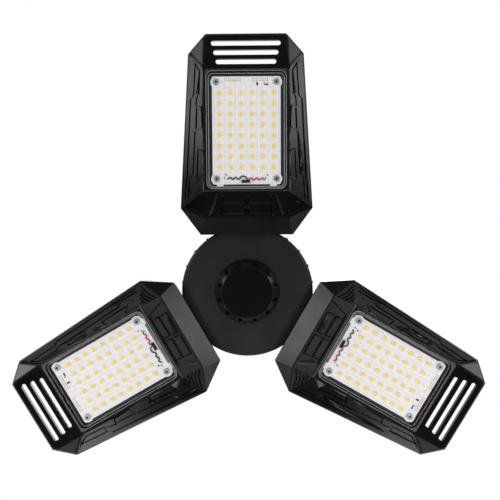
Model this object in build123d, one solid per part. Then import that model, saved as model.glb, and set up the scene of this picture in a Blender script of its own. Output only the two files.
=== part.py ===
import os
from build123d import *

# Hub sizes, in millimetres; z = 0 is the lower end of the screw base
face_z = -72.0
disc_over = 1.5
disc_t = 4.0
drum_r = 45.5
drum_h = 17.0
cone_h = 12.0
neck_seat = 3.0
hub_wall = 2.6
neck_r = 26.5
neck_bore_r = 18.0
neck_top_r = 15.5
cap_r = 20.4
cap_h = 3.5
boss_h = 3.5
cap_plug_r = 5.9
notch_r = 1.6
notch_count = 12
edge_in = 1.7
edge_drop = 1.15
rib_count = 24
rib_out = 0.7

# Screw base sizes
thread_core_r = 12.2
thread_crest = 0.85
thread_pitch = 3.63
thread_lead = 1.6
thread_end = 2.4
skirt_step = 1.0
skirt_h = 3.5
shell_h = 20.5
shell_wall = 1.0

# Panel outline: distances from the hub axis, steps past the window's end and steps out from its sides
inner_edge_u = 41.0
inner_edge_out = 3.9
ridge_u = 52.5
ridge_out = 0.6
inner_shoulder_u = 59.5
inner_shoulder_out = 16.9
outer_shoulder_past = 9.3
outer_shoulder_out = 11.1
outer_edge_past = 22.9
outer_edge_in = 0.8
rim_flat = 0.9
shoulder_w = 12.5
lip_w = 4.0
lip_t = 2.2
wall = 2.4

# Panel window and the layers behind it
panel_mid = 114.1
window_l = 82.4
window_w = 56.8
window_round = 5.0
foot_step = 1.4
floor_top = 2.0
lens_proud = 0.6
lens_t = 1.5
flange = 3.0
seal_t = 1.2
fit = 0.2
screw_fit = 0.1
board_screw_r = 1.4
back_screw_r = 1.5
screw_bite = 2.6
board_gap_l = 1.85
board_gap_w = 2.55
board_t = 1.6
lobe_r = 4.0
screw_in_l = 3.85
screw_in_w = 2.95
led_rows = 8
led_columns = 6
led_in_l = 11.75
led_in_w = 5.15
led_l = 3.6
led_w = 3.3
led_t = 0.7
plate_t = 4.0
fin_h = 9.4
fin_t = 2.0
fin_pitch = 6.0
slot_w = 3.2
slot_count = 3
slot_first = 4.1
slot_pitch = 5.8
slot_in = 7.5
slot_grow = 1.45
tail_l = 30.2
tail_w = 4.4
corner_round = 10.0
foot_round = 4.0
groove_w = 1.15
wide_groove = 2.2
groove_d = 1.2
recess_in = 2.4
recess_taper = 5.0
recess_d = 1.0
tile_h = 1.15
tile_gap = 1.2
tile_margin = 3.6
boss_r = 2.6
boss_step = 26.0

# Hinge
hinge_gap = 2.8
hinge_w = -8.0
knuckle_r = 5.5
lug_r = 6.5
lug_t = 6.0
knuckle_half = 10.4
joint_gap = 0.3
washer_t = 0.8
bolt_r = 2.5
bolt_fit = 0.06
headings = {"front": 270.0, "left": 150.0, "right": 30.0}

# Radii that follow
disc_r = drum_r + disc_over
hinge_u = disc_r + rib_out + knuckle_r + hinge_gap
skirt_r = thread_core_r + skirt_step
shell_bore_r = thread_core_r - shell_wall
thread_run = shell_h - skirt_h - thread_lead - thread_end

# Depths along the panel's own axis, which points out of the lens
floor_low = floor_top - wall
lens_low = floor_low - lens_t
plate_top = lens_low - seal_t
plate_low = plate_top - plate_t
board_top = plate_top + board_t
lens_top = floor_top + lens_proud
plate_start = hinge_u + 10.0
plate_end = panel_mid + window_l / 2 + flange + fit
boss_v = window_w / 2 + flange + boss_r
boss_us = (panel_mid - boss_step, panel_mid + boss_step)
plate_half = boss_v + 2.5
lug_in = knuckle_half + joint_gap + washer_t
lug_out = lug_in + lug_t

# The board fits inside the lens and its seal
lens_in_l = window_l - 2 * (fit + lens_t)
lens_in_w = window_w - 2 * (fit + lens_t)
board_l = lens_in_l - 2 * board_gap_l
board_w = lens_in_w - 2 * board_gap_w
screw_u = board_l / 2 - screw_in_l
screw_v = board_w / 2 - screw_in_w
led_pitch_u = (board_l - 2 * led_in_l) / (led_rows - 1)
led_pitch_v = (board_w - 2 * led_in_w) / (led_columns - 1)

# Corners of the outline: distance from the hub axis and half width
window_end = panel_mid + window_l / 2
inner_edge = (inner_edge_u, window_w / 2 + inner_edge_out)
inner_shoulder = (inner_shoulder_u, window_w / 2 + inner_shoulder_out)
outer_shoulder = (window_end + outer_shoulder_past, window_w / 2 + outer_shoulder_out)
outer_edge = (window_end + outer_edge_past, window_w / 2 - outer_edge_in)
ridge = (ridge_u, window_w / 2 + ridge_out)

# The rim's height follows from keeping each side wall flat
foot_v = window_w / 2 + foot_step
foot_in = panel_mid - window_l / 2 - foot_step
foot_out = panel_mid + window_l / 2 + foot_step
side_slope = (shoulder_w - floor_top) / (inner_shoulder[1] - rim_flat - foot_v)
end_w = floor_top + side_slope * (outer_shoulder[1] - rim_flat - foot_v)
rim_slope = (end_w - shoulder_w) / (outer_shoulder[0] - inner_shoulder[0])
middle = (panel_mid, 0, floor_top + 3.0)


def rim_w(u):
    return shoulder_w + rim_slope * (u - inner_shoulder[0])


def post(r, low, high, u=0.0, v=0.0):
    """Upright cylinder between two heights."""
    return Pos(u, v, low) * Cylinder(r, high - low, align=(Align.CENTER, Align.CENTER, Align.MIN))


def block(u0, u1, v0, v1, w0, w1):
    return Pos((u0 + u1) / 2, (v0 + v1) / 2, (w0 + w1) / 2) * Box(u1 - u0, v1 - v0, w1 - w0)


def slab(length, width, round_r, low, high, u=0.0):
    """Rounded rectangular plate between two heights."""
    outline = RectangleRounded(length, width, round_r)
    return extrude(Pos(u, 0, low) * outline, amount=high - low)


def window_slab(grow, low, high):
    """Plate of the window's shape, its edge moved outward by grow."""
    return slab(window_l + 2 * grow, window_w + 2 * grow, window_round + grow, low, high, panel_mid)


def axle(r, v0, v1):
    """Cylinder along the hinge axis."""
    turned = Rot(-90, 0, 0) * Cylinder(r, v1 - v0, align=(Align.CENTER, Align.CENTER, Align.MIN))
    return Pos(hinge_u, v0, hinge_w) * turned


def turned(points):
    """Solid of revolution from radius and height pairs."""
    return revolve(Plane.XZ * make_face(Polyline(*points, close=True)), axis=Axis.Z)


def wall_normal(a, b, c, inside):
    normal = (Vector(*b) - Vector(*a)).cross(Vector(*c) - Vector(*a)).normalized()
    if normal.dot(Vector(*inside) - Vector(*a)) < 0:
        normal = normal * -1
    return normal


def keep_side(solid, a, b, c, inside, grow=0.0):
    """Part of a solid on one side of three points, the cut moved outward by grow."""
    normal = wall_normal(a, b, c, inside)
    origin = Vector(*a) - normal * grow
    return split(solid, bisect_by=Plane(origin=origin, z_dir=normal), keep=Keep.TOP)


def both(solid):
    return [solid, mirror(solid, about=Plane.XZ)]


# Corner points of the hollow front of the panel, for one side
def rim_points(side):
    r = (ridge[0] + rim_flat, side * (ridge[1] - 0.4), rim_w(ridge[0]))
    b = (inner_shoulder[0] + 0.4, side * (inner_shoulder[1] - rim_flat), rim_w(inner_shoulder[0]))
    c = (outer_shoulder[0] - 0.4, side * (outer_shoulder[1] - rim_flat), rim_w(outer_shoulder[0]))
    d = (outer_edge[0] - rim_flat, side * (outer_edge[1] - 0.4), rim_w(outer_edge[0]))
    return r, b, c, d


def foot_point(u, side):
    return (u, side * foot_v, floor_top)


def funnel(grow):
    """Open space in front of the window, its walls moved outward by grow."""
    body = block(foot_in - 60, foot_out + 60, -80, 80, floor_top - grow, floor_top + 40)
    for side in (1, -1):
        r, b, c, d = rim_points(side)
        body = keep_side(body, foot_point(foot_in, side), foot_point(foot_out, side), b, middle, grow)
        body = keep_side(body, r, b, foot_point(foot_in, side), middle, grow)
        body = keep_side(body, c, d, foot_point(foot_out, side), middle, grow)
    r, b, c, d = rim_points(1)
    body = keep_side(body, r, (r[0], -r[1], r[2]), foot_point(foot_in, 1), middle, grow)
    body = keep_side(body, d, (d[0], -d[1], d[2]), foot_point(foot_out, 1), middle, grow)
    return body


def rounded_funnel():
    """Open space with its foot rounded, and the four edges that run up from its outer corners."""
    body = funnel(0.0)
    foot_edges, corner_edges = [], []
    for edge in body.edges():
        low, high = sorted((edge @ 0, edge @ 1), key=lambda spot: spot.Z)
        if high.Z < floor_top + 0.1:
            foot_edges.append(edge)
        elif abs(low.X - foot_out) < 0.1 and abs(low.Z - floor_top) < 0.1:
            corner_edges.append(edge)
    return fillet(foot_edges, foot_round) & fillet(corner_edges, corner_round)


def outline():
    half = [inner_edge, inner_shoulder, outer_shoulder, outer_edge]
    points = [(u, -v) for u, v in half] + half[::-1]
    return Polygon(*points, align=None)


def tray_block(shape, low, grow):
    """Panel outline trimmed by the rim, the sloped inner band and the two corner facets."""
    inside = (panel_mid, 0, plate_low)
    body = extrude(Pos(0, 0, low) * shape, amount=shoulder_w + 20 - low)
    b = (*inner_shoulder, shoulder_w)
    c = (*outer_shoulder, end_w)
    r = (*ridge, rim_w(ridge[0]))
    a = (*inner_edge, lip_w + lip_t)
    body = keep_side(body, b, (b[0], -b[1], b[2]), c, inside, grow)
    body = keep_side(body, r, (r[0], -r[1], r[2]), a, inside, grow)
    body = keep_side(body, r, b, a, inside, grow)
    for_mirror = [(p[0], -p[1], p[2]) for p in (r, b, a)]
    return keep_side(body, *for_mirror, inside, grow)


# Points on the flat walls, from the foot of the wall (0) to its rim (1)
def on_side(along, f):
    u = panel_mid + along * window_l / 2
    share = (u - inner_shoulder[0]) / (outer_shoulder[0] - inner_shoulder[0])
    top = inner_shoulder[1] + (outer_shoulder[1] - inner_shoulder[1]) * share - rim_flat
    return Vector(u, foot_v + f * (top - foot_v), floor_top + f * (rim_w(u) - floor_top))


def on_end(v, f):
    r = rim_points(1)[0]
    return Vector(foot_in + f * (r[0] - foot_in), v, floor_top + f * (r[2] - floor_top))


def on_corner(f, across):
    r, b, c, d = rim_points(1)
    foot = Vector(*foot_point(foot_in, 1))
    top = Vector(*r) * (1 - across) + Vector(*b) * across
    return foot + (top - foot) * f


def bar_on(start, stop, normal, width, height):
    """Bar laid along a wall, half of it above the surface."""
    run = stop - start
    plane = Plane(origin=start + run * 0.5, x_dir=run, z_dir=normal)
    return plane * Box(run.length + width * 0.8, width, height)


def wall_grooves(points, normal, width, depth):
    cuts = []
    for start, stop in zip(points, points[1:]):
        cuts.append(bar_on(start, stop, normal, width, depth * 2))
    return cuts


# Grooves around the raised plates of a side wall: share of the window's half length, share up the wall
thin_lines = (
    ((0.57, 0.44), (0.60, 0.29), (0.98, 0.25), (1.08, 0.57), (0.57, 0.62), (0.495, 0.80), (-0.73, 0.83)),
    ((0.56, 0.44), (0.36, 0.45), (-0.73, 0.55), (-0.845, 0.75), (-0.80, 0.85)),
    ((0.376, 0.42), (0.386, 0.14), (0.06, 0.08), (-0.02, 0.45)),
    ((-0.35, 0.06), (-0.33, 0.32), (-0.87, 0.36), (-0.76, 0.08)),
    ((-0.85, 0.73), (-1.15, 0.74)),
    ((-0.80, 0.86), (-1.17, 0.88)),
)
wide_lines = (
    ((0.575, 0.41), (0.545, 0.44)),
    ((0.37, 0.45), (0.02, 0.47)),
    ((-0.73, 0.84), (-0.81, 0.85)),
)


def make_frame():
    skin = offset(outline(), amount=-wall, kind=Kind.INTERSECTION)
    body = tray_block(outline(), plate_low, 0.0)
    inner = tray_block(skin, plate_low - 1, -wall)
    body = body - (inner - funnel(wall))
    body = body - block(0, hinge_u + 6.0, -90, 90, plate_low - 2, lip_w)
    tail_u = outer_edge[0] - tail_l
    tail = [(tail_u, 0, plate_low), (tail_u, 10, plate_low), (outer_edge[0], 0, tail_w)]
    body = keep_side(body, *tail, middle)
    for u in boss_us:
        for v in (boss_v, -boss_v):
            body = body + post(boss_r, plate_top, floor_top + 5.0, u, v)
    body = body - rounded_funnel()
    body = body - window_slab(0.0, floor_low - 1, floor_top + 1)
    for u in boss_us:
        for v in (boss_v, -boss_v):
            body = body - post(back_screw_r + screw_fit, plate_top - 1, plate_top + 4.3, u, v)
    for i in range(slot_count):
        u = foot_out + slot_first + i * slot_pitch
        half = window_w / 2 - slot_in + i * slot_grow
        cut = RectangleRounded(slot_w, 2 * half, slot_w * 0.45)
        body = body - extrude(Pos(u, 0, plate_low) * cut, amount=40)
    return add_wall_detail(body)


def add_wall_detail(body):
    side_n = wall_normal(on_side(-1, 0), on_side(1, 0), on_side(-1, 1), middle)
    end_n = wall_normal(on_end(0, 0), on_end(10, 0), on_end(0, 1), middle)
    corner_n = wall_normal(on_corner(0, 0), on_corner(1, 0), on_corner(1, 1), middle)
    cuts = []
    for lines, width in ((thin_lines, groove_w), (wide_lines, wide_groove)):
        for line in lines:
            cuts += wall_grooves([on_side(along, f) for along, f in line], side_n, width, groove_d)
    for f in (0.35, 0.52, 0.69, 0.86):
        bend = [on_corner(f, 0.06), on_corner(f - 0.09, 0.5), on_corner(f, 0.94)]
        cuts += wall_grooves(bend, corner_n, 1.3, 0.9)
    cuts = [piece for cut in cuts for piece in both(cut)]
    wide = window_w / 2 - recess_in
    narrow = wide - recess_taper
    recess = [on_end(narrow, 0.07), on_end(wide, 0.95), on_end(-wide, 0.95), on_end(-narrow, 0.07)]
    face = make_face(Polyline(*recess, close=True))
    cuts.append(extrude(face, amount=recess_d, dir=end_n * -1, taper=50))
    body = body - cuts
    tiles = []
    tile_l = narrow - tile_margin - tile_gap / 2
    for f0, f1 in ((0.12, 0.50), (0.54, 0.92)):
        depth = (on_end(0, f1) - on_end(0, f0)).length
        for v in (-(tile_gap + tile_l) / 2, (tile_gap + tile_l) / 2):
            low = on_end(v, (f0 + f1) / 2) - end_n * (recess_d + 0.05)
            plane = Plane(origin=low, x_dir=(0, 1, 0), z_dir=end_n)
            tiles.append(extrude(plane * Rectangle(tile_l, depth), amount=tile_h, taper=45))
    return body + tiles


def make_lens():
    body = window_slab(flange, lens_low, floor_low)
    body = body + window_slab(-fit, lens_low, lens_top)
    return body - window_slab(-fit - lens_t, lens_low, lens_top - lens_t)


def make_seal():
    body = window_slab(flange, plate_top, lens_low)
    return body - window_slab(-fit - lens_t, plate_top, lens_low)


def screw_spots():
    return [(panel_mid + a * screw_u, b * screw_v) for a in (-1, 1) for b in (-1, 1)]


def make_board():
    body = slab(board_l, board_w, 1.0, plate_top, board_top, panel_mid)
    for u, v in screw_spots():
        body = body + post(lobe_r, plate_top, board_top, u, v)
    tab_u = panel_mid - board_l / 2
    tab_v = board_w / 2 - led_in_w
    for v in (-tab_v, tab_v):
        body = body + block(tab_u - 1.4, tab_u + 1.0, v - 2.3, v + 2.3, plate_top, board_top)
    for u, v in screw_spots():
        body = body - post(board_screw_r + screw_fit, plate_top - 1, board_top + 1, u, v)
    return body - post(0.9, plate_top - 1, board_top + 1, panel_mid + board_l / 2 - 2.6, 0)


def make_leds():
    chips = []
    for i in range(led_rows):
        for j in range(led_columns):
            u = panel_mid + (i - (led_rows - 1) / 2) * led_pitch_u
            v = (j - (led_columns - 1) / 2) * led_pitch_v
            chip = Pos(u, v, board_top + led_t / 2) * Box(led_l, led_w, led_t)
            chips.append(chip)
    return Compound(children=chips)


def pan_screw(u, v, head_r, head_h, shank_r, seat, tip):
    """Screw whose head sits on seat, with a cross recess, and whose point is at tip."""
    out = 1 if seat > tip else -1
    top = seat + out * head_h
    body = post(head_r, min(seat, top), max(seat, top), u, v)
    body = body + post(shank_r, min(seat, tip), max(seat, tip), u, v)
    deep = top - out * head_h * 0.45
    low, high = min(deep, top + out), max(deep, top + out)
    body = body - block(u - head_r * 0.6, u + head_r * 0.6, v - 0.3, v + 0.3, low, high)
    return body - block(u - 0.3, u + 0.3, v - head_r * 0.6, v + head_r * 0.6, low, high)


def make_board_screws():
    screws = []
    for u, v in screw_spots():
        screws.append(pan_screw(u, v, 2.25, 1.3, board_screw_r, board_top, plate_top - screw_bite))
    return Compound(children=screws)


# Spots of the two screws that hold the hinge arm
arm_us = (plate_start + 5.0, plate_start + 17.0)
arm_low = plate_low - 4.0
arm_end = plate_start + 22.0
gland_u = arm_end + 6.0


def make_heat_sink():
    plate_mid = (plate_start + plate_end) / 2
    body = slab(plate_end - plate_start, 2 * plate_half, 3.0, plate_low, plate_top, plate_mid)
    count = int(2 * (plate_half - fin_t) / fin_pitch) + 1
    for i in range(count):
        v = (i - (count - 1) / 2) * fin_pitch
        start = plate_start + 9.0
        if abs(v) < knuckle_half + fin_t:
            start = gland_u + 7.0
        low, high = v - fin_t / 2, v + fin_t / 2
        body = body + block(start, plate_end - 3.0, low, high, plate_low - fin_h, plate_low)
    for u in boss_us:
        for v in (boss_v, -boss_v):
            body = body - post(3.2, plate_low - fin_h - 1, plate_low, u, v)
            body = body - post(back_screw_r + screw_fit, plate_low - 1, plate_top + 1, u, v)
    for u, v in screw_spots():
        body = body - post(board_screw_r + screw_fit, plate_top - screw_bite - 0.3, plate_top + 1, u, v)
    for u in arm_us:
        body = body - post(back_screw_r + screw_fit, plate_low - 1, plate_low + screw_bite + 0.3, u, 0)
    return body - post(1.6, plate_low - 1, plate_low + screw_bite, gland_u, 0)


def make_back_screws():
    screws = []
    for u in boss_us:
        for v in (boss_v, -boss_v):
            screws.append(pan_screw(u, v, 2.7, 1.8, back_screw_r, plate_low, plate_top + 4.0))
    for u in arm_us:
        screws.append(pan_screw(u, 0, 2.7, 1.8, back_screw_r, arm_low, plate_low + screw_bite))
    return Compound(children=screws)


def make_arm():
    body = axle(knuckle_r, -knuckle_half, knuckle_half)
    body = body + block(hinge_u, arm_end, -knuckle_half, knuckle_half, arm_low, plate_low)
    body = body - axle(bolt_r + bolt_fit, -knuckle_half - 1, knuckle_half + 1)
    for u in arm_us:
        body = body - post(back_screw_r + screw_fit, arm_low - 1, plate_low + 1, u, 0)
    return body


def make_gland():
    body = post(4.4, plate_low - 3.0, plate_low, gland_u, 0)
    body = body + post(3.4, plate_low - 6.5, plate_low - 3.0, gland_u, 0)
    return body - post(1.6, plate_low - 7.0, plate_low - 2.0, gland_u, 0)


# Wire connector at the inner end of the board, and two small chips at its outer end
plug_u = panel_mid - board_l / 2 + 1.0
plug_l = 2.0
wire_r = 0.45
wire_w = board_top + wire_r + 0.1


def make_board_parts():
    plug = block(plug_u, plug_u + plug_l, -2.3, 3.7, board_top, board_top + 1.8)
    for v in (-0.9, 0.7, 2.3):
        plug = plug - block(plug_u - 1, plug_u + 0.9, v - 0.4, v + 0.4, board_top + 0.6, board_top + 3)
    chip_u = panel_mid + board_l / 2 - 5.2
    chips = [block(chip_u - 1.0, chip_u + 1.0, -8.3, -7.1, board_top, board_top + 0.6)]
    chips.append(block(chip_u - 0.8, chip_u, -15.6, -13.4, board_top, board_top + 0.6))
    return Compound(children=[plug, *chips])


def make_wire(v, bends):
    """Wire that leaves the plug at v and runs along the board in joined arcs."""
    arcs = []
    spot, way = Vector(plug_u + plug_l, v, wire_w), Vector(1, 0, 0)
    for bend_r, turn in bends:
        arcs.append(JernArc(start=spot, tangent=way, radius=bend_r, arc_size=turn))
        spot, way = arcs[-1] @ 1, arcs[-1] % 1
    return sweep(Plane(origin=arcs[0] @ 0, z_dir=(1, 0, 0)) * Circle(wire_r), path=Wire(arcs))


# Bend radius and turn of each arc: a few waves for the red wire, an arch and then waves for the black one
red_bends = ((1.3, -155), (1.1, 130), (1.1, -130), (1.1, 130), (1.1, -130), (1.1, 65))
black_bends = ((2.7, 155), (1.1, -130), (1.1, 130), (1.1, -130), (1.1, 130), (1.1, -65))


def make_bolt():
    body = axle(bolt_r, -lug_out - 5.0, lug_out) + axle(4.6, lug_out, lug_out + 3.0)
    key = Rot(-90, 0, 0) * extrude(RegularPolygon(2.0, 6), amount=3.0)
    return body - Pos(hinge_u, lug_out + 1.4, hinge_w) * key


def make_nut():
    nut = Rot(90, 0, 0) * extrude(RegularPolygon(4.6, 6), amount=4.0)
    return Pos(hinge_u, -lug_out, hinge_w) * nut - axle(bolt_r + screw_fit, -lug_out - 5.0, -lug_out + 1.0)


def make_washers():
    rings = []
    for v in (-lug_in, lug_in - washer_t):
        rings.append(axle(knuckle_r, v, v + washer_t) - axle(bolt_r + bolt_fit, v - 1, v + washer_t + 1))
    return Compound(children=rings)


def panel_spot(heading):
    return Pos(0, 0, face_z) * Rot(0, 0, heading) * Rot(180, 0, 0)


# Hub heights
drum_low = face_z + disc_t
drum_top = drum_low + drum_h
cone_top = drum_top + cone_h
neck_low = cone_top + neck_seat
ring_top = drum_low + 4.0
drum_in = drum_r - hub_wall
hub_gland_r = 3.1
gland_w = 4.0 - disc_t - drum_h


def make_cover():
    ring_r = drum_in - fit
    points = (
        (0, face_z - boss_h), (cap_r + 0.6, face_z - boss_h), (cap_r + 2.9, face_z),
        (disc_r - edge_in, face_z), (disc_r, face_z + edge_drop), (disc_r, drum_low), (ring_r, drum_low),
        (ring_r, ring_top), (ring_r - 2.2, ring_top), (ring_r - 2.2, drum_low - 1.4), (0, drum_low - 1.4),
    )
    body = turned(points) - post(cap_plug_r + 0.1, face_z - 20, face_z + 20)
    return body - notches(face_z - boss_h - 1, face_z)


def notches(low, high):
    """Row of round notches through the edge of the cap and into the boss behind it."""
    cuts = []
    for i in range(notch_count):
        cuts.append(Rot(0, 0, 15.0 + i * 360.0 / notch_count) * post(notch_r, low, high, cap_r - 0.2))
    return cuts


def make_cap():
    low = face_z - boss_h - cap_h
    seat = face_z - boss_h
    points = (
        (0, low), (cap_r - 2.4, low), (cap_r, low + 1.9), (cap_r, seat),
        (cap_plug_r, seat), (cap_plug_r, drum_low - 1.4), (0, drum_low - 1.4),
    )
    return turned(points) - notches(low - 1, seat + 0.01)


def make_housing():
    points = (
        (drum_r, drum_low), (drum_r, drum_top), (neck_r, cone_top), (neck_r, neck_low),
        (neck_bore_r, neck_low), (neck_bore_r, cone_top - 1.0), (neck_r - 2.5, cone_top - 1.0),
        (drum_in, drum_top - 1.0), (drum_in, drum_low),
    )
    body = turned(points)
    for i in range(rib_count):
        rib = block(drum_r - 1, disc_r + rib_out, -0.8, 0.8, drum_low + 0.3, drum_top - 1.5)
        body = body + Rot(0, 0, 7.5 + i * 360.0 / rib_count) * rib
    ear = post(lug_r, 0, lug_t)
    neck = block(drum_r - 1.5 - hinge_u, 0, hinge_w + disc_t + 0.3, lug_r, 0, lug_t)
    lug = Rot(90, 0, 0) * (ear + mirror(neck, about=Plane.XZ))
    hole = Rot(90, 0, 0) * post(bolt_r + screw_fit, -1, lug_t + 1)
    for heading in headings.values():
        place = panel_spot(heading)
        for v in (-lug_in, lug_out):
            body = body + place * Pos(hinge_u, v, hinge_w) * lug
            body = body - place * Pos(hinge_u, v, hinge_w) * hole
        bore = Pos(drum_in - 2, 0, gland_w) * Rot(0, 90, 0) * post(hub_gland_r + screw_fit, 0, 8)
        body = body - place * bore
    return body


def make_hub_glands():
    glands = []
    for heading in headings.values():
        reach = disc_r - drum_in
        plug = post(hub_gland_r, 0, reach + 1.5) - post(1.5, reach - 1, reach + 3)
        glands.append(panel_spot(heading) * Pos(drum_in, 0, gland_w) * Rot(0, 90, 0) * plug)
    return Compound(children=glands)


def make_neck():
    points = (
        (neck_r, neck_low), (neck_r, neck_low + 5.0), (21.0, -22.0), (17.5, -6.0), (neck_top_r, -2.0),
        (neck_top_r, 0), (shell_bore_r - fit, 0), (shell_bore_r - fit, 8.0), (8.5, 8.0), (8.5, -4.0),
        (15.0, -20.0), (neck_bore_r, neck_low),
    )
    body = turned(points)
    for i in range(12):
        corners = ((17.0, neck_low + 4), (neck_r - 0.4, neck_low + 4), (18.6, -9.0), (16.8, -9.0))
        fin = extrude(Plane.XZ * make_face(Polyline(*corners, close=True)), amount=0.8, both=True)
        body = body + Rot(0, 0, 30.0 * i) * fin
    return body


def make_driver_board():
    return post(drum_in - 2 * fit, ring_top, ring_top + 1.6)


def make_driver_parts():
    low = ring_top + 1.6
    parts = [block(-28, -8, -10, 8, low, low + 11)]
    parts.append(post(6.0, low, low + 13.0, 14.0, 10.0))
    parts.append(post(4.0, low, low + 10.0, 15.0, -10.0))
    parts.append(post(4.0, low, low + 8.0, 0.0, -24.0))
    parts.append(block(-6, 6, 18, 27, low, low + 7))
    return Compound(children=parts)


def make_shell():
    start = skirt_h + thread_lead
    path = Pos(0, 0, start) * Helix(pitch=thread_pitch, height=thread_run, radius=thread_core_r)
    half = [(-0.6, -1.5), (thread_crest * 0.3, -1.0), (thread_crest, -0.45)]
    tooth = Polygon(*half, *[(r, -z) for r, z in half[::-1]], align=None)
    thread = sweep(Plane(path @ 0, x_dir=(1, 0, 0), z_dir=path % 0) * tooth, path=path, is_frenet=True)
    body = post(skirt_r, 0, skirt_h) + post(thread_core_r, 0, shell_h) + thread
    body = body - post(shell_bore_r, -1, shell_h - 1.0)
    return body - post(8.0, 0, shell_h + 1)


def make_insulator():
    rim_r = thread_core_r - 1.2
    top = shell_h + 3.0
    return turned(((0, shell_h), (rim_r, shell_h), (rim_r - 1.2, shell_h + 1.2), (6.0, top), (0, top)))


def make_contact():
    low = shell_h + 3.0
    return turned(((0, low), (4.8, low), (4.8, low + 0.8), (3.6, low + 1.6), (0, low + 2.0)))


hub_parts = {
    "hub_cover": make_cover, "centre_cap": make_cap, "hub_housing": make_housing,
    "hub_glands": make_hub_glands, "neck": make_neck,
    "driver_board": make_driver_board, "driver_parts": make_driver_parts,
    "screw_shell": make_shell, "base_insulator": make_insulator, "centre_contact": make_contact,
}
panel_parts = {
    "frame": make_frame, "lens": make_lens, "lens_seal": make_seal, "led_board": make_board,
    "leds": make_leds, "board_screws": make_board_screws, "heat_sink": make_heat_sink,
    "back_screws": make_back_screws, "hinge_arm": make_arm, "cable_gland": make_gland,
    "board_parts": make_board_parts,
    "red_wire": lambda: make_wire(-1.6, red_bends), "black_wire": lambda: make_wire(-0.3, black_bends),
    "hinge_bolt": make_bolt, "hinge_nut": make_nut, "friction_washers": make_washers,
}

os.makedirs("parts", exist_ok=True)
for name, make in hub_parts.items():
    export_step(make(), f"parts/{name}.step")
for name, make in panel_parts.items():
    piece = make()
    for side, heading in headings.items():
        export_step(panel_spot(heading) * piece, f"parts/{side}_{name}.step")
    print(name, round(piece.volume), piece.is_valid, len(piece.solids()))
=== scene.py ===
from math import pi, radians

import bmesh
import bpy
from mathutils import Matrix, Vector


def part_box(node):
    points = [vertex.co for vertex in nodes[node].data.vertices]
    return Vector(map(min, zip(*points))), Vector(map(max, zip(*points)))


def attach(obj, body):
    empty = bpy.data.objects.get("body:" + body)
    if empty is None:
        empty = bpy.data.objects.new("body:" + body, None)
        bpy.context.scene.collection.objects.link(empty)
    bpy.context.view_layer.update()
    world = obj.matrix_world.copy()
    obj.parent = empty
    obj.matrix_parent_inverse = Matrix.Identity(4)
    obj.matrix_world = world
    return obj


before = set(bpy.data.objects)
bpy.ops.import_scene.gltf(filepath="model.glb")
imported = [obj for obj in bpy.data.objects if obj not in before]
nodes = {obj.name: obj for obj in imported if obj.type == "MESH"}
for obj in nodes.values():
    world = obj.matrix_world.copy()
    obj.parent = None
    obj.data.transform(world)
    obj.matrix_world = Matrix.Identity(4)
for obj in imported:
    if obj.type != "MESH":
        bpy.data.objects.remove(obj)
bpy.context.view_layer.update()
scene = bpy.context.scene
scene.view_settings.view_transform = "Standard"
print("frame loaded:", len(nodes), "nodes")

mm = 0.001
panelHeadings = {"front": 270.0, "left": 150.0, "right": 30.0}  # degrees round the screw base's axis
faceZ = -72.0 * mm  # level that depths in a panel are counted from


# a panel's own axes: u away from the hub, v across, w out of the lens
def panelMatrix(heading):
    turn = Matrix.Rotation(radians(heading), 4, "Z") @ Matrix.Rotation(pi, 4, "X")
    return Matrix.Translation((0, 0, faceZ)) @ turn


# w in mm of the side of a panel's node that faces the lens, the same on all three panels
def frontLevel(part):
    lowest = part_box("front_" + part)[0]
    return (faceZ - lowest[2]) / mm


boardTop = frontLevel("led_board")
ledTop = frontLevel("leds")
screwTop = frontLevel("board_screws")
ledMidU = -sum(corner[1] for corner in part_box("front_leds")) / 2 / mm  # the front panel's u runs along -Y


def toLinear(code):
    parts = [int(code[i:i + 2], 16) / 255 for i in (1, 3, 5)]
    return tuple(c / 12.92 if c <= 0.04045 else ((c + 0.055) / 1.055) ** 2.4 for c in parts) + (1.0,)


# an input is a plain value, or the socket of another node that is linked to it
def addNode(owner, kind, inputs=None, **settings):
    node = owner.node_tree.nodes.new(kind)
    for name, value in settings.items():
        setattr(node, name, value)
    for name, value in (inputs or {}).items():
        if isinstance(value, bpy.types.NodeSocket):
            owner.node_tree.links.new(value, node.inputs[name])
        else:
            node.inputs[name].default_value = value
    return node


def newMaterial(name):
    material = bpy.data.materials.new(name)
    material.use_nodes = True
    material.node_tree.nodes.clear()
    return material


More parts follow.
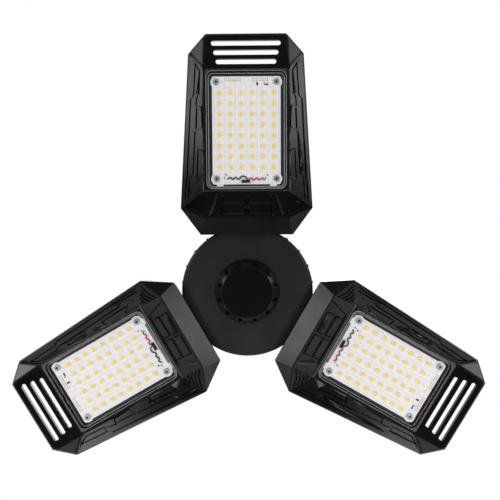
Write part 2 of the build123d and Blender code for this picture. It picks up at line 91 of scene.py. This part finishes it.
# ABS from a spark-eroded mould: an even fine grain, a broad soft highlight, faint clouds from the flow
# the real grain is about 0.1 mm and is drawn coarser, so that it shows
def mouldedAbs(name, dark, light, rough, grainMm, bump):
    cloudMm = 24.0
    grainDepthMm = 0.12
    m = newMaterial(name)
    place = addNode(m, "ShaderNodeTexCoord").outputs["Object"]
    grain = addNode(m, "ShaderNodeTexNoise", {
        "Vector": place, "Scale": 1 / (grainMm * mm), "Detail": 3.0, "Roughness": 0.6})
    cloud = addNode(m, "ShaderNodeTexNoise", {"Vector": place, "Scale": 1 / (cloudMm * mm), "Detail": 4.0})
    tint = addNode(m, "ShaderNodeMix", {
        "Factor": cloud.outputs["Fac"], "A": toLinear(dark), "B": toLinear(light)}, data_type="RGBA")
    both = addNode(m, "ShaderNodeMath", {
        0: grain.outputs["Fac"], 1: cloud.outputs["Fac"]}, operation="MULTIPLY")
    gloss = addNode(m, "ShaderNodeMapRange", {
        "Value": both.outputs[0], "From Min": 0.1, "From Max": 0.45,
        "To Min": rough - 0.05, "To Max": rough + 0.07})
    rise = addNode(m, "ShaderNodeBump", {
        "Height": grain.outputs["Fac"], "Strength": bump, "Distance": grainDepthMm * mm})
    shader = addNode(m, "ShaderNodeBsdfPrincipled", {
        "Base Color": tint.outputs["Result"], "Roughness": gloss.outputs["Result"], "IOR": 1.5,
        "Normal": rise.outputs["Normal"]})
    addNode(m, "ShaderNodeOutputMaterial", {"Surface": shader.outputs["BSDF"]})
    return m


# the cap's ABS: a polished middle that mirrors the dark below it, in a satin ring that takes the light
capSet = {
    "dark": "#070707", "light": "#0c0c0c", "cloudMm": 6.0,
    "ringStartMm": 17.6, "ringBlendMm": 0.15,
    "polishRough": 0.18, "satinRough": 0.30,
    "pimpleMm": 0.9, "pimpleDepthMm": 0.12,  # coarser than the real texture, so that it shows
    "polishBump": 0.03, "satinBump": 0.08,
}


def polishedAbs(name):
    m = newMaterial(name)
    place = addNode(m, "ShaderNodeTexCoord").outputs["Object"]
    flat = addNode(m, "ShaderNodeVectorMath", {0: place, 1: (1.0, 1.0, 0.0)}, operation="MULTIPLY")
    reach = addNode(m, "ShaderNodeVectorMath", {0: flat.outputs["Vector"]}, operation="LENGTH")
    ring = addNode(m, "ShaderNodeMapRange", {
        "Value": reach.outputs["Value"],
        "From Min": (capSet["ringStartMm"] - capSet["ringBlendMm"]) * mm,
        "From Max": (capSet["ringStartMm"] + capSet["ringBlendMm"]) * mm})
    pimples = addNode(m, "ShaderNodeTexVoronoi", {
        "Vector": place, "Scale": 1 / (capSet["pimpleMm"] * mm)}, feature="F1")
    cloud = addNode(m, "ShaderNodeTexNoise", {
        "Vector": place, "Scale": 1 / (capSet["cloudMm"] * mm), "Detail": 4.0})
    tint = addNode(m, "ShaderNodeMix", {
        "Factor": cloud.outputs["Fac"], "A": toLinear(capSet["dark"]), "B": toLinear(capSet["light"])},
        data_type="RGBA")
    gloss = addNode(m, "ShaderNodeMapRange", {
        "Value": ring.outputs["Result"], "To Min": capSet["polishRough"], "To Max": capSet["satinRough"]})
    press = addNode(m, "ShaderNodeMapRange", {
        "Value": ring.outputs["Result"], "To Min": capSet["polishBump"], "To Max": capSet["satinBump"]})
    rise = addNode(m, "ShaderNodeBump", {
        "Height": pimples.outputs["Distance"], "Strength": press.outputs["Result"],
        "Distance": capSet["pimpleDepthMm"] * mm})
    shader = addNode(m, "ShaderNodeBsdfPrincipled", {
        "Base Color": tint.outputs["Result"], "Roughness": gloss.outputs["Result"], "IOR": 1.5,
        "Normal": rise.outputs["Normal"]})
    addNode(m, "ShaderNodeOutputMaterial", {"Surface": shader.outputs["BSDF"]})
    return m


# clear moulded polycarbonate: unseen face on and through its sides, a painted highlight along its rounded
# edge
lensSet = {
    "tint": "#eef0f4", "ior": 1.58,
    "smearMm": 9.0, "smearRough": (0.03, 0.12),
    "edgeFacing": 0.68, "edgeBand": (0.16, 0.30),  # how squarely the edge with the painted highlight faces front, and its spread
    # opacity of the painted highlight on the edge, and of the clear faces
    "edgeGlintAlpha": 0.7, "faceCover": 0.006,
}


def clearPolycarbonate(name):
    m = newMaterial(name)
    coords = addNode(m, "ShaderNodeTexCoord")
    facing = addNode(m, "ShaderNodeSeparateXYZ", {"Vector": coords.outputs["Normal"]})
    front = addNode(m, "ShaderNodeMath", {0: facing.outputs["Z"], 1: -1.0}, operation="MULTIPLY")
    haze = addNode(m, "ShaderNodeTexNoise", {
        "Vector": coords.outputs["Object"], "Scale": 1 / (lensSet["smearMm"] * mm), "Detail": 3.0})
    smear = addNode(m, "ShaderNodeMapRange", {
        "Value": haze.outputs["Fac"],
        "To Min": lensSet["smearRough"][0], "To Max": lensSet["smearRough"][1]})
    away = addNode(m, "ShaderNodeMath", {
        0: front.outputs[0], 1: lensSet["edgeFacing"]}, operation="SUBTRACT")
    tilt = addNode(m, "ShaderNodeMath", {0: away.outputs[0]}, operation="ABSOLUTE")
    # painted highlight: where the edge faces front at a slant, the lens turns mostly opaque in its
    # near-white tint, in place of the glint of the lit edge
    glintAlpha = addNode(m, "ShaderNodeMapRange", {
        "Value": tilt.outputs[0], "From Min": lensSet["edgeBand"][0], "From Max": lensSet["edgeBand"][1],
        "To Min": lensSet["edgeGlintAlpha"], "To Max": lensSet["faceCover"]})
    shader = addNode(m, "ShaderNodeBsdfPrincipled", {
        "Base Color": toLinear(lensSet["tint"]), "Roughness": smear.outputs["Result"],
        "IOR": lensSet["ior"], "Alpha": glintAlpha.outputs["Result"]})
    addNode(m, "ShaderNodeOutputMaterial", {"Surface": shader.outputs["BSDF"]})
    return m


# screen-printed white solder mask over copper: bright, a touch violet, with faint raised tracks under it
maskSet = {
    "dark": "#f1eff0", "light": "#faf8f8", "overTrack": "#e2dfe2", "rough": 0.38, "dustMm": 1.4,
    "trackGapU": 7.4, "trackGapV": 3.8, "trackMm": 0.22, "trackSoft": 0.4, "trackRiseMm": 0.06,
}


def whiteSolderMask(name, heading):
    m = newMaterial(name)
    place = addNode(m, "ShaderNodeTexCoord").outputs["Object"]
    square = addNode(m, "ShaderNodeMapping", {
        "Vector": place, "Rotation": (0, 0, radians(-heading)), "Scale": (1 / mm, 1 / mm, 1 / mm)},
        vector_type="POINT")
    tracks = addNode(m, "ShaderNodeTexBrick", {
        "Vector": square.outputs["Vector"], "Scale": 1.0, "Brick Width": maskSet["trackGapU"],
        "Row Height": maskSet["trackGapV"], "Mortar Size": maskSet["trackMm"],
        "Mortar Smooth": maskSet["trackSoft"]}, offset=0.5)
    dust = addNode(m, "ShaderNodeTexNoise", {
        "Vector": place, "Scale": 1 / (maskSet["dustMm"] * mm), "Detail": 4.0})
    ground = addNode(m, "ShaderNodeMix", {
        "Factor": dust.outputs["Fac"], "A": toLinear(maskSet["dark"]), "B": toLinear(maskSet["light"])},
        data_type="RGBA")
    tint = addNode(m, "ShaderNodeMix", {
        "Factor": tracks.outputs["Fac"], "A": ground.outputs["Result"],
        "B": toLinear(maskSet["overTrack"])}, data_type="RGBA")
    rise = addNode(m, "ShaderNodeBump", {
        "Height": tracks.outputs["Fac"], "Strength": 0.3, "Distance": maskSet["trackRiseMm"] * mm})
    shader = addNode(m, "ShaderNodeBsdfPrincipled", {
        "Base Color": tint.outputs["Result"], "Roughness": maskSet["rough"], "IOR": 1.5,
        "Normal": rise.outputs["Normal"]})
    addNode(m, "ShaderNodeOutputMaterial", {"Surface": shader.outputs["BSDF"]})
    return m


# one tone with a fine grain in colour, gloss and height, for small moulded, cast and plated pieces
# real grains here are finer than a pixel and are drawn coarser, so that they show close up
def fineGrained(name, dark, light, rough, grainMm, metal=0.0, bump=0.2):
    grainDepthMm = 0.05
    m = newMaterial(name)
    place = addNode(m, "ShaderNodeTexCoord").outputs["Object"]
    grain = addNode(m, "ShaderNodeTexNoise", {
        "Vector": place, "Scale": 1 / (grainMm * mm), "Detail": 4.0, "Roughness": 0.6})
    tint = addNode(m, "ShaderNodeMix", {
        "Factor": grain.outputs["Fac"], "A": toLinear(dark), "B": toLinear(light)}, data_type="RGBA")
    gloss = addNode(m, "ShaderNodeMapRange", {
        "Value": grain.outputs["Fac"], "From Min": 0.3, "From Max": 0.7,
        "To Min": rough - 0.06, "To Max": rough + 0.06})
    rise = addNode(m, "ShaderNodeBump", {
        "Height": grain.outputs["Fac"], "Strength": bump, "Distance": grainDepthMm * mm})
    shader = addNode(m, "ShaderNodeBsdfPrincipled", {
        "Base Color": tint.outputs["Result"], "Metallic": metal, "Roughness": gloss.outputs["Result"],
        "Normal": rise.outputs["Normal"]})
    addNode(m, "ShaderNodeOutputMaterial", {"Surface": shader.outputs["BSDF"]})
    return m


# black anodised aluminium, extruded: dark grey under a thin dyed skin, with drawn lines along the panel
# real lines are finer than 0.1 mm and are drawn coarser, so that they show
finSet = {
    "dark": "#222224", "light": "#2e2e31", "rough": 0.40, "metal": 0.55,  # the skin hides half the metal
    "lineMm": 0.5, "stretch": 0.04, "lineDepthMm": 0.05, "bump": 0.15,
}


def blackAnodised(name, heading):
    m = newMaterial(name)
    place = addNode(m, "ShaderNodeTexCoord").outputs["Object"]
    along = addNode(m, "ShaderNodeMapping", {
        "Vector": place, "Rotation": (0, 0, radians(-heading)), "Scale": (finSet["stretch"], 1.0, 1.0)},
        vector_type="POINT")
    lines = addNode(m, "ShaderNodeTexNoise", {
        "Vector": along.outputs["Vector"], "Scale": 1 / (finSet["lineMm"] * mm), "Detail": 3.0})
    tint = addNode(m, "ShaderNodeMix", {
        "Factor": lines.outputs["Fac"], "A": toLinear(finSet["dark"]), "B": toLinear(finSet["light"])},
        data_type="RGBA")
    gloss = addNode(m, "ShaderNodeMapRange", {
        "Value": lines.outputs["Fac"], "From Min": 0.3, "From Max": 0.7,
        "To Min": finSet["rough"] - 0.08, "To Max": finSet["rough"] + 0.08})
    rise = addNode(m, "ShaderNodeBump", {
        "Height": lines.outputs["Fac"], "Strength": finSet["bump"],
        "Distance": finSet["lineDepthMm"] * mm})
    shader = addNode(m, "ShaderNodeBsdfPrincipled", {
        "Base Color": tint.outputs["Result"], "Metallic": finSet["metal"],
        "Roughness": gloss.outputs["Result"], "Normal": rise.outputs["Normal"]})
    addNode(m, "ShaderNodeOutputMaterial", {"Surface": shader.outputs["BSDF"]})
    return m


# the panels' glossier ABS: nearly black on the flats, with grey streaks where a wall mirrors a lamp
frameAbs = mouldedAbs("frameAbs", "#070708", "#0b0b0c", rough=0.21, grainMm=0.8, bump=0.06)
# the hub's satin ABS: a shade lighter and duller, so the disc stands off from the frames
hubAbs = mouldedAbs("hubAbs", "#0d0d0e", "#121213", rough=0.40, grainMm=0.9, bump=0.12)
capAbs = polishedAbs("capAbs")
lensPlastic = clearPolycarbonate("clearPolycarbonate")
# cast cream resin of the LED packages: pale, with a soft sheen
ledResin = fineGrained("ledResin", "#fff0c4", "#fff8e0", rough=0.45, grainMm=0.6)
# silicone filled with phosphor powder: a dense yellow with a grainy matt skin
phosphor = fineGrained("phosphorSilicone", "#ffdc5e", "#ffea8c", rough=0.55, grainMm=0.5)
# zinc-plated steel of the board screws, tumbled: light grey heads without a hard mirror
zincSteel = fineGrained("zincPlatedSteel", "#a2a2a5", "#c4c4c6", rough=0.42, grainMm=0.7, metal=0.6)
# blackened steel of bolts, nuts and back screws: dark, with a dull gleam
blackSteel = fineGrained("blackOxideSteel", "#2a2a2b", "#3a3a3b", rough=0.38, grainMm=0.8, metal=1.0)
# moulded nylon of the wire plug: black and a little waxy
plugNylon = fineGrained("plugNylon", "#0c0c0d", "#161617", rough=0.45, grainMm=0.5)
# extruded PVC on the wires: an even colour with a smooth soft shine
redPvc = fineGrained("redWirePvc", "#b3171c", "#cf2a2c", rough=0.36, grainMm=0.6)
blackPvc = fineGrained("blackWirePvc", "#0d0d0e", "#1a1a1b", rough=0.36, grainMm=0.6)
# moulded rubber of the cable glands: dull, with no clear highlight
glandRubber = fineGrained("glandRubber", "#121212", "#1b1b1b", rough=0.62, grainMm=0.5)
# moulded silicone of the seal: a matt line, the darkest one round the window
sealSilicone = fineGrained("sealSilicone", "#050505", "#0a0a0a", rough=0.55, grainMm=0.7)
# moulded nylon of the friction washers: dark grey, rubbed dull
washerNylon = fineGrained("washerNylon", "#2b2b2c", "#3a3a3b", rough=0.50, grainMm=0.6)
# nickel-plated shell of the screw base, rolled: bright and smooth, a little uneven
shellNickel = fineGrained("nickelPlate", "#a9a7a2", "#c6c4bf", rough=0.26, grainMm=1.2,
                          metal=1.0, bump=0.08)
# tinned centre contact, dipped: grey and softer than the shell
contactTin = fineGrained("tinPlate", "#9a9791", "#c0bdb7", rough=0.36, grainMm=0.6, metal=1.0)
# black glass fused round the contact: glossy, with small sharp highlights
baseGlass = fineGrained("blackGlass", "#0b0b0d", "#131318", rough=0.12, grainMm=1.5, bump=0.05)
# green solder mask of the driver's board and moulded epoxy of its parts: satin, hidden in the housing
driverMask = fineGrained("greenSolderMask", "#1d5a31", "#25703c", rough=0.40, grainMm=0.8)
driverEpoxy = fineGrained("driverEpoxy", "#2b2b30", "#3b3b42", rough=0.45, grainMm=0.8)
# copper pads under flux: a flat pinkish tan, too dull to look like metal
padCopper = fineGrained("fluxedCopper", "#a98a6c", "#c4a486", rough=0.42, grainMm=0.4)
# moulded epoxy of the chips: black and matt
chipEpoxy = fineGrained("chipEpoxy", "#0e0e10", "#1a1a1c", rough=0.50, grainMm=0.4)
# moulded nylon of the rivet: clean white, a little waxy
rivetNylon = fineGrained("rivetNylon", "#f0eeec", "#fbfaf8", rough=0.42, grainMm=0.6)
# painted shade: steel deep in a screw's cross, coloured dark because little light gets in
recessShadeSteel = fineGrained("paintedShadeSteel", "#141415", "#232324", rough=0.60, grainMm=0.5)
print("materials ready")

# a node's name without its side, to its material and the width in mm that its edges are rounded by
nodeFinish = {
    "hub_cover": (hubAbs, 0.4), "centre_cap": (capAbs, 0.4), "hub_housing": (hubAbs, 0.3),
    "neck": (hubAbs, 0.3), "hub_glands": (glandRubber, 0.3), "driver_board": (driverMask, 0.0),
    "driver_parts": (driverEpoxy, 0.3), "screw_shell": (shellNickel, 0.0),
    "base_insulator": (baseGlass, 0.3), "centre_contact": (contactTin, 0.3),
    "frame": (frameAbs, 0.25), "lens": (lensPlastic, 0.6), "lens_seal": (sealSilicone, 0.2),
    "leds": (ledResin, 0.12), "board_screws": (zincSteel, 0.25), "back_screws": (blackSteel, 0.25),
    "cable_gland": (glandRubber, 0.3), "board_parts": (plugNylon, 0.1), "red_wire": (redPvc, 0.0),
    "black_wire": (blackPvc, 0.0), "hinge_bolt": (blackSteel, 0.3), "hinge_nut": (blackSteel, 0.3),
    "friction_washers": (washerNylon, 0.1),
}
for side, heading in panelHeadings.items():  # patterns that run along a panel are turned with it
    finMetal = blackAnodised(side + "BlackAnodised", heading)
    nodeFinish[side + "_led_board"] = (whiteSolderMask(side + "SolderMask", heading), 0.15)
    nodeFinish[side + "_heat_sink"] = (finMetal, 0.25)
    nodeFinish[side + "_hinge_arm"] = (finMetal, 0.35)

edgeSet = {"weldMm": 0.004, "flatDegrees": 0.4, "sharpDegrees": 24.0, "segments": 2}


def dressNode(name, material, edgeMm):
    o = nodes[name]
    o.data.materials.clear()
    o.data.materials.append(material)
    weld = o.modifiers.new("joinTriangles", "WELD")
    weld.merge_threshold = edgeSet["weldMm"] * mm
    if edgeMm > 0:
        if "frame" not in name:  # a frame's grooved walls keep their triangles
            flat = o.modifiers.new("joinFlats", "DECIMATE")
            flat.decimate_type = "DISSOLVE"
            flat.angle_limit = radians(edgeSet["flatDegrees"])
        soft = o.modifiers.new("softEdges", "BEVEL")
        soft.width = edgeMm * mm
        soft.segments = edgeSet["segments"]
        soft.limit_method = "ANGLE"
        soft.angle_limit = radians(edgeSet["sharpDegrees"])
        soft.use_clamp_overlap = True
        soft.harden_normals = True


for name in nodes:
    finish = nodeFinish.get(name) or nodeFinish[name.split("_", 1)[1]]
    dressNode(name, *finish)
print("nodes dressed")


# the shape comes in a panel's own axes and is put in its place on that panel
def newPiece(side, kind, shape, material):
    bmesh.ops.transform(shape, matrix=panelMatrix(panelHeadings[side]), verts=shape.verts)
    bmesh.ops.recalc_face_normals(shape, faces=shape.faces)
    mesh = bpy.data.meshes.new(side + kind)
    shape.to_mesh(mesh)
    shape.free()
    mesh.materials.append(material)
    piece = bpy.data.objects.new(side + kind, mesh)
    scene.collection.objects.link(piece)
    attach(piece, side + "_panel")


# a block that stands on (u, v, w), with its upright edges rounded where an edge width is given
def addPad(shape, place, size, edge=0.0):
    u, v, w = place
    length, width, height = size
    made = bmesh.ops.create_cube(shape, size=1.0)["verts"]
    bmesh.ops.scale(shape, vec=(length * mm, width * mm, height * mm), verts=made)
    bmesh.ops.translate(shape, vec=(u * mm, v * mm, (w + height / 2) * mm), verts=made)
    if edge > 0:
        edges = dict.fromkeys(e for corner in made for e in corner.link_edges)  # each once, in order
        uprights = [e for e in edges if e.verts[0].co.xy == e.verts[1].co.xy]
        bmesh.ops.bevel(shape, geom=uprights, offset=edge * mm, affect="EDGES", segments=2, profile=0.5,
                        material=-1)


# a disc that stands on (u, v, w), narrower at its top by the edge
def addDisc(shape, place, reach, height, edge=0.0):
    u, v, w = place
    made = bmesh.ops.create_cone(shape, cap_ends=True, segments=24, radius1=reach * mm,
                                 radius2=(reach - edge) * mm, depth=height * mm)["verts"]
    bmesh.ops.translate(shape, vec=(u * mm, v * mm, (w + height / 2) * mm), verts=made)


# phosphor window on top of each LED package, its sizes in mm like those of all the pieces below
ledGrid = {"rows": 8, "columns": 6, "pitchU": 7.4, "pitchV": 7.6, "size": (2.7, 2.5, 0.1), "round": 0.5}


def ledWindows():
    shape = bmesh.new()
    for i in range(ledGrid["rows"]):
        for j in range(ledGrid["columns"]):
            u = ledMidU + (i - (ledGrid["rows"] - 1) / 2) * ledGrid["pitchU"]
            v = (j - (ledGrid["columns"] - 1) / 2) * ledGrid["pitchV"]
            addPad(shape, (u, v, ledTop), ledGrid["size"], ledGrid["round"])
    return shape


for side in panelHeadings:
    newPiece(side, "Phosphor", ledWindows(), phosphor)
print("phosphor made")

# two rows of plain solder pads at the board's outer end, left and right of the rivet
padRows = {
    "rowsU": (148.9, 150.3), "firstV": 4.4, "count": 9, "pitch": 1.32,
    "size": (0.8, 0.6, 0.06), "round": 0.15,
}


def solderPads():
    shape = bmesh.new()
    for u in padRows["rowsU"]:
        for half in (-1, 1):
            for i in range(padRows["count"]):
                v = half * (padRows["firstV"] + i * padRows["pitch"])
                addPad(shape, (u, v, boardTop), padRows["size"], padRows["round"])
    return shape


# plastic rivet over the hole between the pads
rivetSet = {"u": 149.4, "v": 0.0, "reach": 1.9, "height": 0.5, "edge": 0.35}


def boardRivet():
    shape = bmesh.new()
    place = (rivetSet["u"], rivetSet["v"], boardTop)
    addDisc(shape, place, rivetSet["reach"], rivetSet["height"], rivetSet["edge"])
    return shape


# small chips near the wires and beside the pads, each as u, v, length and width
chipSet = {
    "nearWires": (
        (83.2, 14.6, 0.8, 1.3), (80.9, 15.6, 1.4, 0.5), (80.8, -13.4, 1.4, 0.5), (83.0, -14.6, 0.9, 0.9),
    ),
    "nearPads": ((146.0, -13.6, 0.5, 2.0), (146.8, -12.6, 1.0, 0.5)),
    "height": 0.3, "round": 0.08,
}


def boardChips():
    shape = bmesh.new()
    for u, v, length, width in chipSet["nearWires"] + chipSet["nearPads"]:
        addPad(shape, (u, v, boardTop), (length, width, chipSet["height"]), chipSet["round"])
    return shape


# painted shade: a dark cross with a round middle laid on each board screw's head, where its recess lies in
# shade
recessSet = {
    "screwsU": (80.3, 147.9), "screwsV": (21.2, -21.2), "middleReach": 0.75, "middleHeight": 0.04,
    "crossReach": 1.25, "crossWidth": 0.5, "crossHeight": 0.06,
}


def screwRecesses():
    shape = bmesh.new()
    span = 2 * recessSet["crossReach"]
    for u in recessSet["screwsU"]:
        for v in recessSet["screwsV"]:
            place = (u, v, screwTop)
            addDisc(shape, place, recessSet["middleReach"], recessSet["middleHeight"])
            addPad(shape, place, (span, recessSet["crossWidth"], recessSet["crossHeight"]))
            addPad(shape, place, (recessSet["crossWidth"], span, recessSet["crossHeight"]))
    return shape


for side in panelHeadings:
    newPiece(side, "SolderPads", solderPads(), padCopper)
    newPiece(side, "BoardRivet", boardRivet(), rivetNylon)
    newPiece(side, "BoardChips", boardChips(), chipEpoxy)
    newPiece(side, "ScrewRecesses", screwRecesses(), recessShadeSteel)
print("board marks made")

# camera below the light, fitted to the panel corners in the photograph: place, lens and sensor in mm
cameraSet = {
    "place": (6.2, -55.8, -469.1), "lens": 40.19, "sensor": 36.0, "clipStart": 10.0,
    "forward": (-0.0104, 0.0654, 0.9978), "down": (-0.0047, 0.9978, -0.0654),
}
camera = bpy.data.objects.new("mainCamera", bpy.data.cameras.new("mainCamera"))
scene.collection.objects.link(camera)
forward = Vector(cameraSet["forward"]).normalized()
right = Vector(cameraSet["down"]).cross(forward).normalized()
up = right.cross(forward).normalized()
turn = Matrix((right, up, -forward)).transposed().to_4x4()
camera.matrix_world = Matrix.Translation(Vector(cameraSet["place"]) * mm) @ turn
camera.data.lens = cameraSet["lens"]
camera.data.sensor_width = cameraSet["sensor"]
camera.data.clip_start = cameraSet["clipStart"] * mm
scene.camera = camera
print("camera set")

# soft boxes and narrow strips round the light, fills below it and one lamp overhead
# each has its place and its size in metres, and its watts, and points at the hub
lampSet = {
    "rightBox": ((0.93, -0.34, -0.66), (0.27, 0.75), 2.0),
    "leftBox": ((-0.93, -0.34, -0.66), (0.27, 0.75), 2.15),
    "rightFill": ((0.50, 0.42, -0.86), (0.85, 0.40), 2.45),
    "leftFill": ((-0.50, 0.42, -0.86), (0.85, 0.40), 2.45),
    "rightKick": ((0.30, 0.72, -0.83), (0.32, 0.32), 0.9),
    "leftKick": ((-0.30, 0.72, -0.83), (0.32, 0.32), 0.5),
    "rightStrip": ((0.88, 0.68, -0.38), (0.5, 0.2), 0.24),
    "leftStrip": ((-0.88, 0.68, -0.38), (0.5, 0.2), 0.22),
    "topStrip": ((0.0, -1.15, -0.37), (0.7, 0.14), 0.11),
    "lowStrip": ((0.0, 1.15, -0.34), (0.8, 0.18), 0.5),
    "backFill": ((0.0, -0.45, -0.98), (0.9, 0.30), 0.95),
    "overhead": ((0.3, -0.6, 1.30), (1.2, 1.2), 14.0),
}
for name, (place, size, watts) in lampSet.items():
    lamp = bpy.data.lights.new(name, "AREA")
    lamp.shape = "RECTANGLE"
    lamp.size, lamp.size_y = size
    lamp.energy = watts
    o = bpy.data.objects.new(name, lamp)
    scene.collection.objects.link(o)
    o.location = place
    o.rotation_euler = (Vector((0, 0, faceZ)) - Vector(place)).to_track_quat("-Z", "Y").to_euler()
    o.visible_camera = False
print("lamps set")

# floor well below the hanging light: matt white paint that takes the shadow and is seen nearly white
floorSet = {"paint": "#f2f2f2", "level": -1.3, "halfSide": 6.0, "glow": 0.62}
floorShape = bmesh.new()
bmesh.ops.create_grid(floorShape, x_segments=1, y_segments=1, size=floorSet["halfSide"])
bmesh.ops.translate(floorShape, vec=(0, 0, floorSet["level"]), verts=floorShape.verts)
floorMesh = bpy.data.meshes.new("floor")
floorShape.to_mesh(floorMesh)
floorShape.free()
paint = newMaterial("floorPaint")
path = addNode(paint, "ShaderNodeLightPath")
seen = addNode(paint, "ShaderNodeMath", {
    0: path.outputs["Is Camera Ray"], 1: path.outputs["Is Transmission Ray"]}, operation="MAXIMUM")
pale = addNode(paint, "ShaderNodeMath", {0: seen.outputs[0], 1: floorSet["glow"]}, operation="MULTIPLY")
glow = addNode(paint, "ShaderNodeEmission", {
    "Color": toLinear(floorSet["paint"]), "Strength": pale.outputs[0]})
matt = addNode(paint, "ShaderNodeBsdfDiffuse", {"Color": toLinear(floorSet["paint"])})
both = addNode(paint, "ShaderNodeAddShader", {0: matt.outputs["BSDF"], 1: glow.outputs["Emission"]})
addNode(paint, "ShaderNodeOutputMaterial", {"Surface": both.outputs["Shader"]})
floorMesh.materials.append(paint)
floor = bpy.data.objects.new("floor", floorMesh)
scene.collection.objects.link(floor)
floor.visible_glossy = False  # the studio is dark where the flats mirror it

# surroundings: white where they are seen or mirrored from above, a low even light on the object otherwise
worldSet = {"tint": "#ffffff", "seen": 1.0, "light": 0.13, "mirroredBelow": 0.06, "horizonBlend": 0.3}
world = bpy.data.worlds.new("studio")
scene.world = world
world.use_nodes = True
world.node_tree.nodes.clear()
path = addNode(world, "ShaderNodeLightPath")
way = addNode(world, "ShaderNodeTexCoord")
height = addNode(world, "ShaderNodeSeparateXYZ", {"Vector": way.outputs["Generated"]})
above = addNode(world, "ShaderNodeMapRange", {
    "Value": height.outputs["Z"], "From Min": 0.0, "From Max": worldSet["horizonBlend"]})
mirrored = addNode(world, "ShaderNodeMath", {
    0: path.outputs["Is Glossy Ray"], 1: above.outputs["Result"]}, operation="MULTIPLY")
through = addNode(world, "ShaderNodeMath", {
    0: path.outputs["Is Camera Ray"], 1: path.outputs["Is Transmission Ray"]}, operation="MAXIMUM")
seen = addNode(world, "ShaderNodeMath", {
    0: through.outputs[0], 1: mirrored.outputs[0]}, operation="MAXIMUM")
level = addNode(world, "ShaderNodeMapRange", {
    "Value": path.outputs["Is Glossy Ray"],
    "To Min": worldSet["light"], "To Max": worldSet["mirroredBelow"]})
dim = addNode(world, "ShaderNodeBackground", {
    "Color": toLinear(worldSet["tint"]), "Strength": level.outputs["Result"]})
bright = addNode(world, "ShaderNodeBackground", {
    "Color": toLinear(worldSet["tint"]), "Strength": worldSet["seen"]})
mixed = addNode(world, "ShaderNodeMixShader", {
    0: seen.outputs[0], 1: dim.outputs[0], 2: bright.outputs[0]})
addNode(world, "ShaderNodeOutputWorld", {"Surface": mixed.outputs[0]})
print("stage set")
